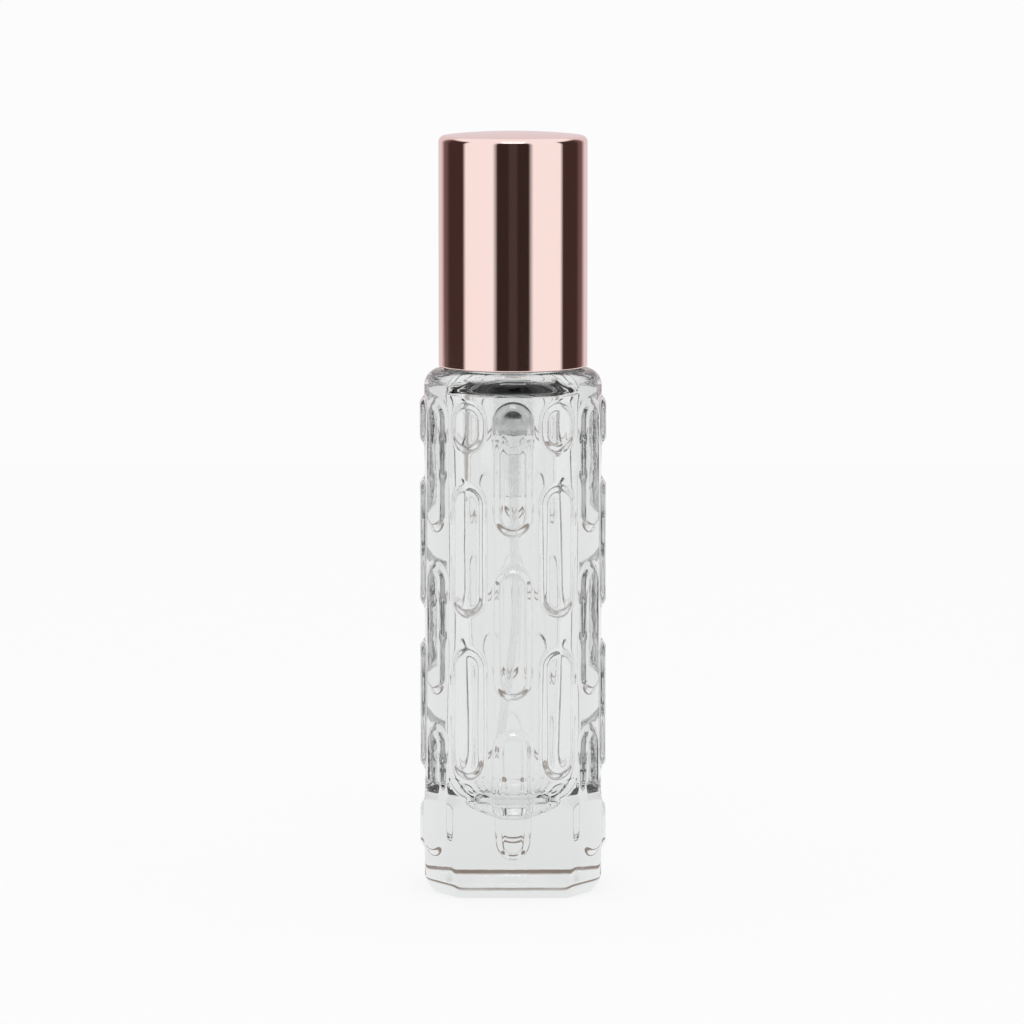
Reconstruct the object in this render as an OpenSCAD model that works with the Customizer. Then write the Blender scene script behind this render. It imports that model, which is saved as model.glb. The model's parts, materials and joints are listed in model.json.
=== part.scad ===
// Glass atomiser bottle with a press-down fine mist pump, a screw collar and a pull-off metal cap.
// Origin: centre of the underside of the foot. +Z up, the nozzle looks along -Y.

/* [Bottle] */
// Diameter of the round body between its raised pills
body_d = 20.3; // [18:0.1:26]
// Height of the shoulder above the table
body_h = 60.1; // [50:0.1:90]
// Thickness of the glass wall
glass_wall = 5.05; // [4:0.05:5.5]
// Thickness of glass under the cavity, at its middle
floor_t = 8.7; // [4:0.1:14]
// Thickness of glass over the cavity, beside the neck
shoulder_t = 2.1; // [1.4:0.1:3]
// Outer radius of the shoulder
shoulder_r = 1.9; // [1:0.1:2.6]
// Radius of the cavity's upper corner
cavity_corner_r = 1.4; // [0.8:0.1:1.6]

/* [Foot] */
// Width of the flat front and back faces of the foot
foot_front_w = 13.4; // [8:0.1:15]
// Width of the flats at the foot's two sides
foot_side_w = 6.9; // [4:0.1:9]
// How far the front face lies inside the round body
foot_set = 1.62; // [0.8:0.01:2]
// Height up to which the foot keeps its corners
foot_h = 9.6; // [8.6:0.1:12]
// Radius with which those corners round off into the round body
foot_runout = 3; // [1.6:0.1:4]
// Height up to which the front face of the foot stays flat
swell_z = 9.4; // [8.6:0.1:12]
// Height over which the round body then swells out over that face
swell_h = 2; // [1.2:0.1:4]
// Height of the bevel round the underside
heel_h = 2; // [0.6:0.1:3]
// Width of that bevel, seen from below
heel_in = 1.1; // [0.4:0.01:1.8]
// Radius of the dished middle of the underside
dish_r = 5.2; // [3:0.1:6]
// Depth of the dish
dish_depth = 0.5; // [0.2:0.1:1]

/* [Pills] */
// Number of columns of raised pills
pill_columns = 12; // [6:2:16]
// Number of whole pills in a column
pill_rows = 3; // [2:1:5]
// Gap between the sides of two columns
pill_side_gap = 0.72; // [0.5:0.02:1.6]
// Gap between the ends of two pills of a column
pill_gap = 3.2; // [1.5:0.1:5]
// How far the pills stand out
pill_rise = 0.52; // [0.2:0.01:1]
// Plain glass below the lowest pills
pill_low = 4.35; // [3:0.05:8]
// Plain glass above the highest pills, down from the shoulder
pill_high = 2.85; // [2.2:0.05:6]

/* [Neck] */
// Diameter of the neck under its thread
neck_d = 10.8; // [9.4:0.1:13]
// Height of the neck above the shoulder
neck_h = 10; // [8:0.1:13]
// Bore of the neck
neck_bore = 6.7; // [6:0.05:7.6]
// Pitch of the screw thread
thread_pitch = 2.1; // [1.8:0.1:2.6]
// Depth of the thread
thread_depth = 0.6; // [0.4:0.05:0.8]
// Turns of thread on the neck
neck_turns = 1.75; // [1.25:0.25:2.25]
// Turns of thread in the collar
collar_turns = 1.25; // [0.75:0.25:1.5]

/* [Collar] */
// Wall of the collar outside its thread
collar_wall = 0.82; // [0.5:0.01:1.2]
// Thickness of the collar's top web
collar_web = 0.85; // [0.5:0.05:1.4]
// Thickness of the metal skin on the collar
collar_skin = 0.3; // [0.2:0.05:0.5]
// Space between the shoulder and the collar's lower edge
collar_lift = 1.1; // [0.6:0.1:2]
// Thickness of the gasket on the neck
gasket_t = 0.8; // [0.4:0.1:1.4]

/* [Cap] */
// Thickness of the metal cap
cap_skin = 0.37; // [0.25:0.01:0.6]
// Wall of the plastic liner in the cap
liner_wall = 0.65; // [0.4:0.05:1]
// Thickness of the liner's top
liner_top = 0.8; // [0.5:0.1:1.5]
// Gap between the shoulder and the cap's rim
cap_gap = 0.25; // [0.2:0.05:1]
// Outer radius of the cap's top edge
cap_edge_r = 1; // [0.6:0.1:1.2]
// Height of the cap's slightly domed top
cap_dome = 0.5; // [0.1:0.05:0.7]
// Space over the button inside the cap
cap_headroom = 1.05; // [0.6:0.05:3]
// Number of gripping ribs in the liner
liner_ribs = 6; // [4:1:12]
// Width of a gripping rib
liner_rib_w = 0.8; // [0.4:0.1:1.4]
// Height of the part of a rib that rests on the collar
liner_stop_h = 1.6; // [1:0.1:2.4]

/* [Pump] */
// Wall of the wide part of the pump housing
housing_wall = 0.75; // [0.55:0.05:0.9]
// Thickness of the housing's flange
flange_t = 1; // [0.6:0.1:1.6]
// Diameter of the check ball
ball_d = 3.5; // [2.6:0.1:3.7]
// Height by which the ball can rise off its seat
ball_lift = 0.5; // [0.3:0.1:1]
// Wall round the ball
cage_wall = 0.3; // [0.25:0.01:0.45]
// How much smaller than the ball the ring is that holds it down
cage_bite = 0.25; // [0.1:0.05:0.5]
// Distance from the spring seat down to the ball's middle
cage_h = 4.1; // [3.8:0.1:6]
// Height of the outside funnel under the ball
funnel_h = 1.5; // [1:0.1:3]
// Length of the socket for the dip tube
socket_h = 4.9; // [3:0.1:7]
// Wall of that socket
socket_wall = 0.26; // [0.2:0.01:0.4]
// Height of the retainer above the flange
retainer_h = 1.2; // [0.8:0.1:1.6]
// Length of the retainer's sleeve inside the housing
sleeve_h = 2.2; // [1.6:0.1:3.5]
// Thickness of the seal round the stem
seal_t = 0.56; // [0.3:0.02:0.8]

/* [Stem and piston] */
// Travel of the button
stroke = 3.8; // [2.5:0.1:5]
// Diameter of the stem
stem_d = 2.6; // [2.3:0.05:2.8]
// Bore of the stem
stem_bore = 1.1; // [0.7:0.05:1.3]
// Height of the stem's stop ring
stop_h = 0.6; // [0.4:0.1:1]
// Length of the piston
piston_h = 3; // [2.2:0.1:4]
// Free travel of the piston on the stem
piston_slip = 0.6; // [0.3:0.05:1]
// Height of one sealing lip of the piston
lip_h = 0.6; // [0.4:0.1:0.9]
// Thickness of the plunger's head
plunger_t = 1; // [0.6:0.1:1.6]
// Depth to which the plunger's spigot enters the stem
spigot_h = 1.2; // [0.6:0.1:1.6]
// Diameter of the spring wire
wire_d = 0.35; // [0.2:0.05:0.45]
// Number of curls of the spring
spring_turns = 4.5; // [3:0.5:6]

/* [Dip tube] */
// Diameter of the dip tube
tube_d = 1.05; // [0.8:0.05:1.4]
// Wall of the dip tube
tube_wall = 0.2; // [0.15:0.01:0.3]
// Gap between the tube's end and the cavity's floor
tube_clear = 0.9; // [0.5:0.1:4]
// How far the tube's end leans to one side
tube_bend = 1.8; // [0:0.1:3]

/* [Button] */
// Diameter of the button with its metal skin
button_d = 9.8; // [8:0.1:11]
// Height of the button
button_h = 7.1; // [6:0.1:9]
// Thickness of the button's metal skin
button_skin = 0.3; // [0.2:0.05:0.45]
// Radius of the button's top edge
button_edge_r = 0.7; // [0.3:0.1:1.2]
// Depth of the finger dish in the button
finger_dish = 0.25; // [0.1:0.05:0.5]
// Depth to which the stem enters the button
stem_grip = 2.4; // [1.6:0.1:3]
// Diameter of the nozzle insert
nozzle_d = 2; // [1.6:0.1:2.6]
// Length of the nozzle insert
nozzle_l = 1.5; // [1:0.1:2]
// Diameter of the spray hole
spray_d = 0.3; // [0.2:0.05:0.5]
// Place of the nozzle on the button's height
nozzle_share = 0.58; // [0.5:0.01:0.65]

/* [Hidden] */

// How far a cutter runs past what it cuts
over = 0.5;
// Gap between pieces that seat on each other
seat_gap = 0.05;
// Radial gap between coaxial pieces of one assembly
nest_gap = 0.02;
// Radial gap of a running fit
run_gap = 0.06;
// Radial gap between pieces that only pass each other
pass_gap = 0.2;
// Depth to which a ridge is rooted in its wall
root = 0.1;
// Sides of large and small round forms
$fn = 64;
fn_small = 40;
fn_pill = 16;
fn_arc = 8;

body_r = body_d / 2;
cavity_r = body_r - glass_wall;
bowl_r = cavity_r;
cavity_edge_r = min(cavity_corner_r, cavity_r - neck_bore / 2 - seat_gap);
cavity_top = body_h - shoulder_t;
neck_r = neck_d / 2;
bore_r = neck_bore / 2;
neck_top = body_h + neck_h;
crest_r = neck_r + thread_depth;

gasket_top = neck_top + gasket_t;
flange_top = gasket_top + flange_t;
collar_bore_r = crest_r + 2 * run_gap;
collar_r = collar_bore_r + collar_wall;
collar_z = body_h + collar_lift;
collar_top = flange_top + seat_gap + collar_web;
flange_r = collar_bore_r - pass_gap;
shell_in_r = collar_r + nest_gap;
shell_r = shell_in_r + collar_skin;
shell_top = collar_top + collar_skin;

liner_in_r = shell_r + pass_gap;
liner_r = liner_in_r + liner_wall;
cap_in_r = liner_r + nest_gap;
cap_r = cap_in_r + cap_skin;
cap_z = body_h + cap_gap;

housing_r = bore_r - run_gap - pass_gap;
cylinder_r = housing_r - housing_wall;
cage_r = ball_d / 2 + seat_gap;
cage_out_r = cage_r + cage_wall;
socket_in_r = tube_d / 2 + nest_gap;
socket_out_r = socket_in_r + socket_wall;
stem_r = stem_d / 2;
stop_r = stem_r + (cylinder_r - stem_r) / 2;

sleeve_z = flange_top - sleeve_h;
stop_top = sleeve_z - seat_gap;
stop_z = stop_top - stop_h;
piston_top = stop_z - piston_slip - seat_gap;
piston_z = piston_top - piston_h;
plunger_top = piston_z - seat_gap;
plunger_z = plunger_top - plunger_t;
spring_room = stroke + (spring_turns + 1) * wire_d + piston_slip;
spring_z = plunger_z - spring_room;
ball_z = spring_z - cage_h;
cage_floor = ball_z - ball_d / 2;
funnel_z = cage_floor - socket_wall - funnel_h;
socket_z = funnel_z - socket_h;

button_z = shell_top + stroke + 2 * pass_gap;
button_top = button_z + button_h;
button_r = button_d / 2;
core_r = button_r - button_skin - nest_gap;
core_top = button_top - button_skin - nest_gap;
stem_top = button_z + stem_grip;
ceiling = button_top + cap_headroom;
cap_top = ceiling + liner_top + nest_gap + cap_skin + cap_dome;
cap_in_edge_r = max(cap_edge_r - cap_skin, root);
nozzle_r = nozzle_d / 2;
nozzle_z = button_z + button_h * nozzle_share;

pill_len = (body_h - pill_high - pill_low - (pill_rows - 1) * pill_gap) / pill_rows;
pill_pitch = pill_len + pill_gap;
half_pill = (pill_len - pill_gap) / 2;
pill_slope = tan(180 / pill_columns);
pill_w = 2 * body_r * pill_slope - pill_side_gap;
pill_root_r = body_r - pill_side_gap / 2 / pill_slope + root / 2;

// Points of an arc about a centre, from one angle to another
function arc(cx, cy, r, a0, a1) =
    [for (i = [0:fn_arc]) let (a = a0 + (a1 - a0) * i / fn_arc) [cx + r * cos(a), cy + r * sin(a)]];

// A plain round wall
module wall(out_r, in_r, z0, z1, sides) {
    translate([0, 0, z0]) difference() {
        cylinder(r = out_r, h = z1 - z0, $fn = sides);
        translate([0, 0, -over]) cylinder(r = in_r, h = z1 - z0 + 2 * over, $fn = sides);
    }
}

// A solid swept through rings of points that all have the same number of corners
module swept(rings) {
    corners = len(rings[0]);
    last = len(rings) - 1;
    points = [for (ring = rings) for (p = ring) p];
    sides = [for (i = [0:last - 1]) for (j = [0:corners - 1])
        let (a = i * corners + j, b = i * corners + (j + 1) % corners)
        each [[a, b, b + corners], [a, b + corners, a + corners]]];
    first_end = [for (j = [corners - 1:-1:0]) j];
    last_end = [for (j = [0:corners - 1]) last * corners + j];
    polyhedron(points = points, faces = concat(sides, [first_end], [last_end]), convexity = 6);
}

/* Screw thread: a ridge of sloping flanks that rises by one pitch a turn and fades out at both ends */
thread_root_half = 0.45;
thread_crest_half = 0.22;
thread_steps = 24;
thread_fade = 4;
thread_play = 0.12;
// Turns by which the collar's ridge starts before the neck's ridge
collar_start = 0.25;
thread_z = body_h + neck_h / 3;
thread_drop = thread_root_half + thread_crest_half + thread_play;

function thread_ring(foot_r, top_r, a, z) =
    [for (p = [[foot_r, -thread_root_half], [top_r, -thread_crest_half],
            [top_r, thread_crest_half], [foot_r, thread_root_half]])
        [p[0] * cos(a), p[0] * sin(a), z + p[1]]];

function reversed(ring) = [for (i = [len(ring) - 1:-1:0]) ring[i]];

function thread_rings(foot_r, top_r, z0, start_turn, turns) =
    let (steps = round(turns * thread_steps))
    [for (i = [0:steps])
        let (turn = start_turn + turns * i / steps,
            fade = min(1, (1 + min(i, steps - i)) / (1 + thread_fade)))
        thread_ring(foot_r, foot_r + (top_r - foot_r) * fade, 360 * turn, z0 + thread_pitch * turn)];

/* Bottle */
// How much the swell's lower end leans out, one for a plain cone
swell_share = 1.3;
foot_half = foot_front_w / 2;
foot_depth_half = body_r - foot_set;
foot_side_half = foot_side_w / 2;
foot_slant = atan2(foot_depth_half - foot_side_half, body_r - foot_half);
foot_slant_half = foot_half * sin(foot_slant) + foot_depth_half * cos(foot_slant);
foot_corner_r = norm([foot_half, foot_depth_half]);

// Outline of the foot with all eight faces moved inward, at one height
function foot_ring(inset, z) =
    let (d = foot_depth_half - inset, r = body_r - inset, slant = foot_slant_half - inset,
        front_x = (slant - d * cos(foot_slant)) / sin(foot_slant),
        side_y = (slant - r * sin(foot_slant)) / cos(foot_slant))
    [for (p = [[-front_x, -d], [front_x, -d], [r, -side_y], [r, side_y],
            [front_x, d], [-front_x, d], [-r, side_y], [-r, -side_y]])
        [p[0], p[1], z]];

module foot() {
    intersection() {
        swept([foot_ring(0, foot_h + foot_runout + root), foot_ring(0, heel_h), foot_ring(heel_in, 0)]);
        rotate_extrude() polygon(concat([[0, 0], [foot_corner_r + over, 0], [foot_corner_r + over, foot_h / 2]],
            arc(foot_corner_r - foot_runout, foot_h, foot_runout, 0, 90), [[0, foot_h + foot_runout]]));
    }
}

module body_round() {
    rotate_extrude() polygon(concat(
        [[0, heel_h], [foot_depth_half - root, heel_h], [foot_depth_half - root, swell_z]],
        [for (i = [fn_arc - 1:-1:0]) let (u = i / fn_arc)
            [body_r - foot_set * pow(u, swell_share), swell_z + swell_h * (1 - u)]],
        arc(body_r - shoulder_r, body_h - shoulder_r, shoulder_r, 0, 90),
        [[neck_r, body_h], [neck_r, neck_top - root], [neck_r - root, neck_top], [0, neck_top]]));
}

// One raised pill, drawn upright on the front of the body between two heights
module pill(z0, z1) {
    end_r = pill_w / 2;
    translate([0, -pill_root_r, 0]) rotate([90, 0, 0])
        linear_extrude(height = body_r + pill_rise + over - pill_root_r)
            polygon(concat(arc(0, z1 - end_r, end_r, 0, 180), arc(0, z0 + end_r, end_r, 180, 360)));
}

// Whole pills in even columns; odd ones end in a half pill on top, and below too on the foot's side faces
module pills() {
    for (column = [0:pill_columns - 1]) rotate([0, 0, 360 * column / pill_columns]) {
        if (column % 2 == 0) {
            for (row = [0:pill_rows - 1]) {
                pill(pill_low + row * pill_pitch, pill_low + row * pill_pitch + pill_len);
            }
        } else {
            if (column * 4 % pill_columns == 0) pill(pill_low, pill_low + half_pill);
            for (row = [0:pill_rows - 2]) {
                pill(pill_low + half_pill + pill_gap + row * pill_pitch,
                    pill_low + half_pill + (row + 1) * pill_pitch);
            }
            pill(body_h - pill_high - half_pill, body_h - pill_high);
        }
    }
}

module cavity() {
    rotate_extrude() polygon(concat(
        arc(0, floor_t + bowl_r, bowl_r, -90, 0),
        arc(cavity_r - cavity_edge_r, cavity_top - cavity_edge_r, cavity_edge_r, 0, 90),
        [[bore_r, cavity_top], [bore_r, neck_top + over], [0, neck_top + over]]));
}

// Room up to which the pills stand out, flat over the foot's faces and round above them
module pill_room() {
    foot_top = foot_h + foot_runout;
    past_r = body_r + pill_rise + over;
    intersection() {
        cylinder(r = body_r + pill_rise, h = body_h);
        union() {
            swept([foot_ring(-pill_rise - root, foot_top), foot_ring(-pill_rise - root, 0)]);
            rotate_extrude() polygon([[0, swell_z], [foot_depth_half + pill_rise, swell_z],
                [past_r, swell_z + swell_h + over], [past_r, body_h], [0, body_h]]);
        }
    }
}

module bottle() {
    dish_ball_r = (dish_r * dish_r + dish_depth * dish_depth) / (2 * dish_depth);
    color([0.86, 0.9, 0.9, 0.45]) difference() {
        union() {
            body_round();
            foot();
            intersection() {
                pills();
                pill_room();
            }
            swept(thread_rings(neck_r - root, crest_r, thread_z, 0, neck_turns));
        }
        cavity();
        rotate_extrude() polygon(concat(
            [for (i = [0:fn_arc]) let (r = dish_r * i / fn_arc)
                [r, dish_depth - dish_ball_r + sqrt(dish_ball_r * dish_ball_r - r * r)]],
            [[dish_r, -over], [0, -over]]));
    }
}

/* Collar */
module neck_gasket() {
    color("gainsboro") wall(neck_r, bore_r, neck_top + seat_gap / 2, gasket_top - seat_gap / 2, $fn);
}

module collar() {
    color("white") {
        difference() {
            translate([0, 0, collar_z]) cylinder(r = collar_r, h = collar_top - collar_z);
            translate([0, 0, collar_z - over])
                cylinder(r = collar_bore_r, h = flange_top + seat_gap - collar_z + over);
            cylinder(r = retainer_r + pass_gap, h = collar_top + over);
        }
        collar_thread();
    }
}

// The ridge inside the collar runs just under the ridge on the neck
module collar_thread() {
    rings = thread_rings(collar_bore_r + root, neck_r + 2 * run_gap, thread_z - thread_drop,
        -collar_start, collar_turns);
    swept([for (ring = rings) reversed(ring)]);
}

module collar_shell() {
    color([0.88, 0.66, 0.62]) rotate_extrude() polygon(concat(
        [[shell_in_r, collar_z], [shell_r, collar_z]],
        arc(shell_r - collar_skin, shell_top - collar_skin, collar_skin, 0, 90),
        [[retainer_r + 2 * pass_gap, shell_top], [retainer_r + 2 * pass_gap, collar_top + nest_gap],
            [shell_in_r, collar_top + nest_gap]]));
}

/* Cap */
module cap_shell() {
    dome_z = cap_top - cap_dome;
    dome_r = cap_r - cap_edge_r;
    color([0.88, 0.66, 0.62]) rotate_extrude() polygon(concat(
        [[cap_in_r, cap_z], [cap_r, cap_z]],
        arc(dome_r, dome_z - cap_edge_r, cap_edge_r, 0, 90),
        [[dome_r / 2, cap_top - cap_dome / 4], [0, cap_top], [0, cap_top - cap_skin]],
        [[dome_r / 2, cap_top - cap_skin - cap_dome / 4]],
        reversed(arc(cap_in_r - cap_in_edge_r, dome_z - cap_skin - cap_in_edge_r, cap_in_edge_r, 0, 90))));
}

module cap_liner() {
    liner_z = cap_z + cap_skin;
    liner_high = ceiling + liner_top;
    color("ivory") {
        rotate_extrude() polygon([[liner_in_r, liner_z], [liner_r, liner_z],
            [liner_r, liner_high - cap_in_edge_r], [liner_r - cap_in_edge_r, liner_high],
            [0, liner_high], [0, ceiling], [liner_in_r, ceiling]]);
        for (i = [0:liner_ribs - 1]) rotate([0, 0, 360 * i / liner_ribs]) liner_rib(liner_z);
    }
}

// A rib that grips the collar below and rests on its top above
module liner_rib(liner_z) {
    grip_r = shell_r + run_gap;
    stop_in_r = shell_in_r - collar_wall;
    intersection() {
        wall(liner_in_r + root, grip_r, liner_z + collar_lift, shell_top + seat_gap + root, $fn);
        translate([0, -liner_rib_w / 2, 0]) cube([liner_r, liner_rib_w, cap_top]);
    }
    intersection() {
        wall(liner_in_r + root, stop_in_r, shell_top + seat_gap, shell_top + seat_gap + liner_stop_h, $fn);
        translate([0, -liner_rib_w / 2, 0]) cube([liner_r, liner_rib_w, cap_top]);
    }
}

/* Pump */
retainer_r = housing_r + 2 * pass_gap;
vent_d = 0.6;

module pump_housing() {
    seat_run = ball_d / 2 * sqrt(2);
    cone_z = ball_z - seat_run - seat_gap;
    ring_r = ball_d / 2 - cage_bite;
    ring_z = ball_z + ball_lift + sqrt(ball_d * ball_d / 4 - ring_r * ring_r) + seat_gap;
    color([0.93, 0.93, 0.92, 0.8]) difference() {
        union() {
            translate([0, 0, gasket_top]) cylinder(r = flange_r, h = flange_t);
            rotate_extrude($fn = fn_small) polygon([[0, socket_z], [socket_out_r, socket_z],
                [socket_out_r, funnel_z], [cage_out_r, funnel_z + funnel_h],
                [cage_out_r, spring_z - housing_wall], [housing_r, spring_z],
                [housing_r, gasket_top + root], [0, gasket_top + root]]);
        }
        rotate_extrude($fn = fn_small) polygon([[0, socket_z - over], [socket_in_r, socket_z - over],
            [socket_in_r, funnel_z], [socket_in_r - root, funnel_z],
            [socket_in_r - root, cone_z + socket_in_r - root], [cage_r, cone_z + cage_r],
            [cage_r, spring_z], [cylinder_r, spring_z], [cylinder_r, flange_top + over],
            [0, flange_top + over]]);
        translate([0, 0, stop_z]) rotate([0, 90, 0])
            cylinder(d = vent_d, h = housing_r + over, $fn = fn_pill);
    }
    color([0.93, 0.93, 0.92, 0.8])
        wall(cage_r + root, ring_r, ring_z, ring_z + cage_wall, fn_small);
}

module pump_retainer() {
    sleeve_r = cylinder_r - nest_gap;
    color("white") difference() {
        union() {
            translate([0, 0, flange_top]) cylinder(r = retainer_r, h = retainer_h, $fn = fn_small);
            translate([0, 0, sleeve_z]) cylinder(r = sleeve_r, h = sleeve_h + root, $fn = fn_small);
        }
        translate([0, 0, sleeve_z - over])
            cylinder(r = stem_r + run_gap + nest_gap, h = sleeve_h + retainer_h + 2 * over, $fn = fn_small);
        translate([0, 0, sleeve_z - over])
            cylinder(r = seal_r + nest_gap, h = seal_t + nest_gap + over, $fn = fn_small);
    }
}

seal_r = stem_r + (cylinder_r - stem_r) * 2 / 3;

module stem_seal() {
    color("dimgray") wall(seal_r, stem_r + run_gap, sleeve_z, sleeve_z + seal_t, fn_small);
}

module check_ball() {
    color("silver") translate([0, 0, ball_z]) sphere(d = ball_d, $fn = fn_small);
}

/* Spring: one unbroken tube of round wire */
coil_r = cylinder_r - 2 * run_gap - wire_d / 2;
wire_sides = 6;
curl_rings = 8;
spring_rise = spring_room - wire_d - 2 * nest_gap;

function coil_ring(i, steps) =
    let (share = i / steps, turn = 360 * spring_turns * share,
        z = spring_z + nest_gap + wire_d / 2 + spring_rise * share)
    [for (j = [0:wire_sides - 1]) let (b = 360 * j / wire_sides, r = coil_r + wire_d / 2 * cos(b))
        [r * cos(turn), r * sin(turn), z + wire_d / 2 * sin(b)]];

module return_spring() {
    steps = round(spring_turns * curl_rings);
    rings = [for (i = [0:steps]) coil_ring(i, steps)];
    color("silver") swept(rings);
    least_gap = min([for (i = [0:steps - curl_rings]) for (p = rings[i]) for (q = rings[i + curl_rings])
        norm(q - p)]);
    echo(least_gap_between_spring_curls = least_gap);
}

/* Plunger, piston and stem */
module plunger() {
    color("white") {
        translate([0, 0, plunger_z])
            cylinder(r = cylinder_r - 2 * run_gap, h = plunger_t, $fn = fn_small);
        translate([0, 0, plunger_top - root])
            cylinder(r = stem_bore / 2 - nest_gap, h = spigot_h + root, $fn = fn_small);
    }
}

module piston() {
    lip_r = cylinder_r - run_gap;
    waist_r = stem_r + (lip_r - stem_r) / 2;
    color("white") rotate_extrude($fn = fn_small) polygon([
        [stem_r + run_gap, piston_z], [lip_r, piston_z], [lip_r, piston_z + lip_h],
        [waist_r, piston_z + 2 * lip_h], [waist_r, piston_top - 2 * lip_h],
        [lip_r, piston_top - lip_h], [lip_r, piston_top], [stem_r + run_gap, piston_top]]);
}

module stem() {
    port_d = stem_bore / 2;
    color("white") difference() {
        rotate_extrude($fn = fn_small) polygon([[0, plunger_top + nest_gap], [stem_r, plunger_top + nest_gap],
            [stem_r, stop_z], [stop_r, stop_z], [stop_r, stop_top], [stem_r, stop_top],
            [stem_r, stem_top - root], [stem_r - root, stem_top], [0, stem_top]]);
        translate([0, 0, plunger_top - over])
            cylinder(d = stem_bore, h = stem_top - plunger_top + 2 * over, $fn = fn_small);
        translate([0, 0, plunger_top + spigot_h + port_d]) rotate([90, 0, 0])
            cylinder(d = port_d, h = stem_d + 2 * over, center = true, $fn = fn_pill);
    }
}

/* Dip tube: straight out of its socket, then bent a little as it hangs in the cavity */
tube_top = funnel_z - nest_gap;
tube_free_top = socket_z - tube_d;
tube_end = floor_t + tube_clear;
// Sideways places of the hanging tube, as shares of its lean, from its top to its end
tube_lean_shares = [0, 0.02, 0.12, 0.22, 0.2, 0.02, -0.28, -0.58, -0.8, -0.93, -1];
tube_sides = 8;
tube_rings = 30;

// Smooth value between the hand-set places
function lean(s) =
    let (last = len(tube_lean_shares) - 1, i = min(floor(s * last), last - 1), t = s * last - i,
        p0 = tube_lean_shares[max(i - 1, 0)], p1 = tube_lean_shares[i],
        p2 = tube_lean_shares[i + 1], p3 = tube_lean_shares[min(i + 2, last)])
    p1 + t * ((p2 - p0) / 2 + t * (p0 - 5 * p1 / 2 + 2 * p2 - p3 / 2
        + t * (3 * (p1 - p2) + p3 - p0) / 2));

function tube_ring(x, z, r) =
    [for (j = [0:tube_sides - 1]) let (b = 360 * j / tube_sides) [x + r * cos(b), r * sin(b), z]];

function tube_path(r, z_top, z_end) = concat(
    [tube_ring(0, z_top, r)],
    [for (i = [0:tube_rings]) let (s = i / tube_rings)
        tube_ring(tube_bend * lean(s), tube_free_top + (tube_end + root - tube_free_top) * s, r)],
    [tube_ring(-tube_bend, z_end, r)]);

module dip_tube() {
    color([0.95, 0.95, 0.95, 0.7]) difference() {
        swept(tube_path(tube_d / 2, tube_top, tube_end));
        swept(tube_path(tube_d / 2 - tube_wall, tube_top + over, tube_end - over));
    }
}

/* Button */
module button() {
    hollow_r = core_r - button_skin * 2;
    boss_r = stem_r + collar_wall;
    duct_d = stem_bore / 2;
    hollow_top = nozzle_z - nozzle_r - button_skin;
    color("white") difference() {
        translate([0, 0, button_z]) cylinder(r = core_r, h = core_top - finger_dish - button_z);
        wall(hollow_r, boss_r, button_z - over, hollow_top, fn_small);
        translate([0, 0, button_z - over])
            cylinder(r = stem_r + nest_gap, h = stem_grip + nest_gap + over, $fn = fn_small);
        translate([0, 0, button_z]) cylinder(d = duct_d, h = nozzle_z - button_z, $fn = fn_pill);
        translate([0, 0, nozzle_z]) rotate([90, 0, 0]) cylinder(d = duct_d, h = core_r + over, $fn = fn_pill);
        translate([0, nozzle_l - button_r, nozzle_z]) rotate([90, 0, 0])
            cylinder(r = nozzle_r + nest_gap, h = nozzle_l + over, $fn = fn_small);
    }
}

module button_shell() {
    dish_ball_r = (core_r * core_r + finger_dish * finger_dish) / (2 * finger_dish);
    in_r = button_r - button_skin;
    in_top = button_top - button_skin - finger_dish;
    color([0.88, 0.66, 0.62]) difference() {
        rotate_extrude() polygon(concat(
            [[in_r, button_z], [button_r, button_z]],
            arc(button_r - button_edge_r, button_top - button_edge_r, button_edge_r, 0, 90),
            [for (i = [fn_arc:-1:0]) let (r = (button_r - button_edge_r) * i / fn_arc)
                [r, button_top - finger_dish + dish_ball_r - sqrt(dish_ball_r * dish_ball_r - r * r)]],
            [[0, in_top], [in_r, in_top]]));
        translate([0, 0, nozzle_z]) rotate([90, 0, 0])
            cylinder(r = nozzle_r + pass_gap, h = button_r + over, $fn = fn_small);
    }
}

module nozzle_insert() {
    cup_r = nozzle_r - button_skin;
    color("white") translate([0, -button_r, nozzle_z]) rotate([-90, 0, 0]) difference() {
        translate([0, 0, nest_gap]) cylinder(r = nozzle_r, h = nozzle_l - 2 * nest_gap, $fn = fn_small);
        translate([0, 0, -over]) cylinder(d = spray_d, h = nozzle_l + over, $fn = fn_pill);
        translate([0, 0, nozzle_l / 2]) cylinder(r = cup_r, h = nozzle_l, $fn = fn_small);
        translate([0, 0, -nest_gap]) cylinder(r1 = spray_d, r2 = spray_d / 2, h = spray_d, $fn = fn_small);
    }
}

bottle();
neck_gasket();
collar();
collar_shell();
cap_shell();
cap_liner();
pump_housing();
pump_retainer();
stem_seal();
check_ball();
return_spring();
plunger();
piston();
stem();
dip_tube();
button();
button_shell();
nozzle_insert();
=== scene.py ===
"""Glass perfume spray bottle with raised pills, a rose-gold overcap and a mist pump, on a pale studio floor.

Sizes in the classes are millimetres and angles are degrees. Meshes are written in metres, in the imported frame.
"""

import json
import logging
import math
from dataclasses import dataclass
from enum import Enum
from typing import Callable

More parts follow.
